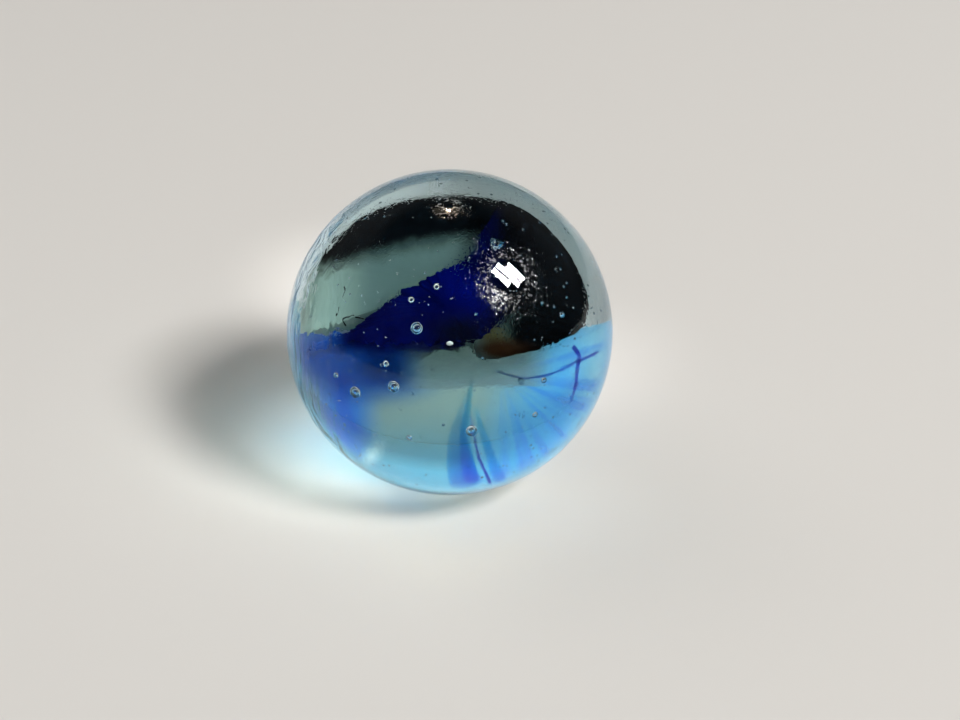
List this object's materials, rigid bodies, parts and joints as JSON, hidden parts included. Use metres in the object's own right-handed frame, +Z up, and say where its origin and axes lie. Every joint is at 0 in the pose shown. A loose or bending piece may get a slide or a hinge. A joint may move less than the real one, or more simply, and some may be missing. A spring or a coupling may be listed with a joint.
{
  "type": "glass marble",
  "caption": "Round solid ball of clear glass with a dark cobalt and aqua swirl and small trapped bubbles.",
  "frame": {"origin": "centre of the ball", "axes": "+Z up, -Y towards the front, where the swirl's face shows"},
  "size_m": [0.0154, 0.0154, 0.0154],
  "materials": {
    "clear_glass": "fire-polished clear soda-lime glass, faintly aqua, the body of the ball",
    "dark_glass": "near-black glass of the swirl's thick part, fused inside the ball",
    "cobalt_glass": "cobalt-blue glass of the swirl's ribbons and streaks, fused inside the ball"
  },
  "bodies": {
    "root": {"marble": "clear_glass"}
  },
  "joints": []
}
